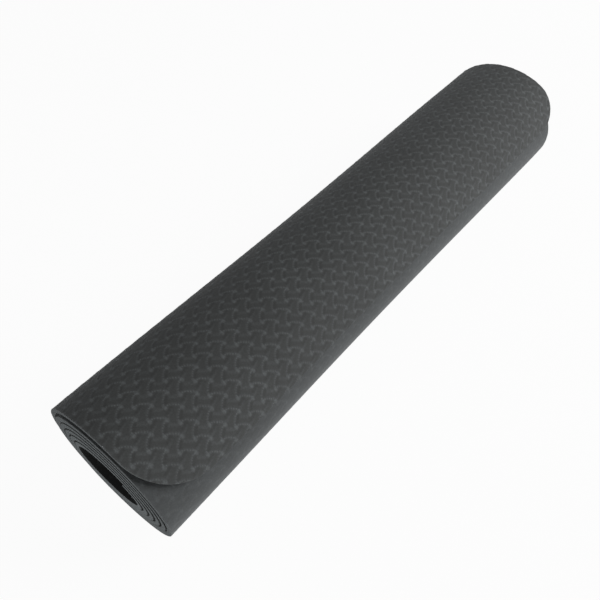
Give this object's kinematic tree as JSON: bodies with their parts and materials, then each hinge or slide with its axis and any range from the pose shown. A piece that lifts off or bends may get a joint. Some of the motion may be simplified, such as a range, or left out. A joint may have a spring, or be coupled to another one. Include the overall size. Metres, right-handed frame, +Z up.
{
  "type": "yoga mat",
  "caption": "Rolled dark grey foam yoga mat with an embossed basket-weave skin, whose loose outer turn uncurls on living hinges and lies flat.",
  "frame": {"origin": "centre of the bounding box's underside, on the surface that the roll lies on", "axes": "+Y along the roll, from its near end in the picture to its far end; +Z up; +X towards the side that the sheet's free end points to"},
  "size_m": [0.1358, 0.6132, 0.1158],
  "materials": {
    "foam": "matte embossed foam"
  },
  "bodies": {
    "roll": {"mat_roll": "foam"},
    "outer_wrap_01": {"outer_wrap_01": "foam"},
    "outer_wrap_02": {"outer_wrap_02": "foam"},
    "outer_wrap_03": {"outer_wrap_03": "foam"},
    "outer_wrap_04": {"outer_wrap_04": "foam"},
    "outer_wrap_05": {"outer_wrap_05": "foam"},
    "outer_wrap_06": {"outer_wrap_06": "foam"},
    "outer_wrap_07": {"outer_wrap_07": "foam"},
    "outer_wrap_08": {"outer_wrap_08": "foam"},
    "outer_wrap_09": {"outer_wrap_09": "foam"},
    "outer_wrap_10": {"outer_wrap_10": "foam"},
    "outer_wrap_11": {"outer_wrap_11": "foam"},
    "outer_wrap_12": {"outer_wrap_12": "foam"},
    "outer_wrap_13": {"outer_wrap_13": "foam"},
    "outer_wrap_14": {"outer_wrap_14": "foam"},
    "outer_wrap_15": {"outer_wrap_15": "foam"},
    "outer_wrap_16": {"outer_wrap_16": "foam"},
    "outer_wrap_17": {"outer_wrap_17": "foam"},
    "free_edge": {"free_edge": "foam"}
  },
  "joints": [
    {"name": "uncurl_01", "type": "hinge", "parent": "roll", "child": "outer_wrap_01", "pos_m": [-0.01387, 0, 0.00075], "axis": [0, -1, 0], "range_deg": [0, 16.44]},
    {"name": "uncurl_02", "type": "hinge", "parent": "outer_wrap_01", "child": "outer_wrap_02", "pos_m": [-0.03118, 0, 0.00584], "axis": [0, -1, 0], "range_deg": [0, 12.89]},
    {"name": "uncurl_03", "type": "hinge", "parent": "outer_wrap_02", "child": "outer_wrap_03", "pos_m": [-0.04523, 0, 0.01368], "axis": [0, -1, 0], "range_deg": [0, 12.89]},
    {"name": "uncurl_04", "type": "hinge", "parent": "outer_wrap_03", "child": "outer_wrap_04", "pos_m": [-0.05515, 0, 0.02261], "axis": [0, -1, 0], "range_deg": [0, 12.89]},
    {"name": "uncurl_05", "type": "hinge", "parent": "outer_wrap_04", "child": "outer_wrap_05", "pos_m": [-0.06172, 0, 0.032], "axis": [0, -1, 0], "range_deg": [0, 12.89]},
    {"name": "uncurl_06", "type": "hinge", "parent": "outer_wrap_05", "child": "outer_wrap_06", "pos_m": [-0.06602, 0, 0.04269], "axis": [0, -1, 0], "range_deg": [0, 12.89]},
    {"name": "uncurl_07", "type": "hinge", "parent": "outer_wrap_06", "child": "outer_wrap_07", "pos_m": [-0.06787, 0, 0.05422], "axis": [0, -1, 0], "range_deg": [0, 12.89]},
    {"name": "uncurl_08", "type": "hinge", "parent": "outer_wrap_07", "child": "outer_wrap_08", "pos_m": [-0.0671, 0, 0.06587], "axis": [0, -1, 0], "range_deg": [0, 12.89]},
    {"name": "uncurl_09", "type": "hinge", "parent": "outer_wrap_08", "child": "outer_wrap_09", "pos_m": [-0.06367, 0, 0.07729], "axis": [0, -1, 0], "range_deg": [0, 12.89]},
    {"name": "uncurl_10", "type": "hinge", "parent": "outer_wrap_09", "child": "outer_wrap_10", "pos_m": [-0.05751, 0, 0.08813], "axis": [0, -1, 0], "range_deg": [0, 12.89]},
    {"name": "uncurl_11", "type": "hinge", "parent": "outer_wrap_10", "child": "outer_wrap_11", "pos_m": [-0.04842, 0, 0.09804], "axis": [0, -1, 0], "range_deg": [0, 12.89]},
    {"name": "uncurl_12", "type": "hinge", "parent": "outer_wrap_11", "child": "outer_wrap_12", "pos_m": [-0.03607, 0, 0.10653], "axis": [0, -1, 0], "range_deg": [0, 12.89]},
    {"name": "uncurl_13", "type": "hinge", "parent": "outer_wrap_12", "child": "outer_wrap_13", "pos_m": [-0.02018, 0, 0.11284], "axis": [0, -1, 0], "range_deg": [0, 12.89]},
    {"name": "uncurl_14", "type": "hinge", "parent": "outer_wrap_13", "child": "outer_wrap_14", "pos_m": [-0.00125, 0, 0.11576], "axis": [0, -1, 0], "range_deg": [0, 12.89]},
    {"name": "uncurl_15", "type": "hinge", "parent": "outer_wrap_14", "child": "outer_wrap_15", "pos_m": [0.01883, 0, 0.11436], "axis": [0, -1, 0], "range_deg": [0, 12.89]},
    {"name": "uncurl_16", "type": "hinge", "parent": "outer_wrap_15", "child": "outer_wrap_16", "pos_m": [0.03659, 0, 0.10902], "axis": [0, -1, 0], "range_deg": [0, 12.89]},
    {"name": "uncurl_17", "type": "hinge", "parent": "outer_wrap_16", "child": "outer_wrap_17", "pos_m": [0.05044, 0, 0.10115], "axis": [0, -1, 0], "range_deg": [0, 12.89]},
    {"name": "uncurl_18", "type": "hinge", "parent": "outer_wrap_17", "child": "free_edge", "pos_m": [0.06061, 0, 0.09182], "axis": [0, -1, 0], "range_deg": [0, 12.89]}
  ],
  "couplings": [
    {"joint": "uncurl_03", "follows": "uncurl_01", "ratio": 0.7837},
    {"joint": "uncurl_04", "follows": "uncurl_02", "ratio": 1},
    {"joint": "uncurl_05", "follows": "uncurl_01", "ratio": 0.7837},
    {"joint": "uncurl_06", "follows": "uncurl_02", "ratio": 1},
    {"joint": "uncurl_07", "follows": "uncurl_01", "ratio": 0.7837},
    {"joint": "uncurl_08", "follows": "uncurl_02", "ratio": 1},
    {"joint": "uncurl_09", "follows": "uncurl_01", "ratio": 0.7837},
    {"joint": "uncurl_10", "follows": "uncurl_02", "ratio": 1},
    {"joint": "uncurl_11", "follows": "uncurl_01", "ratio": 0.7837},
    {"joint": "uncurl_12", "follows": "uncurl_02", "ratio": 1},
    {"joint": "uncurl_13", "follows": "uncurl_01", "ratio": 0.7837},
    {"joint": "uncurl_14", "follows": "uncurl_02", "ratio": 1},
    {"joint": "uncurl_15", "follows": "uncurl_01", "ratio": 0.7837},
    {"joint": "uncurl_16", "follows": "uncurl_02", "ratio": 1},
    {"joint": "uncurl_17", "follows": "uncurl_01", "ratio": 0.7837},
    {"joint": "uncurl_18", "follows": "uncurl_02", "ratio": 1}
  ]
}
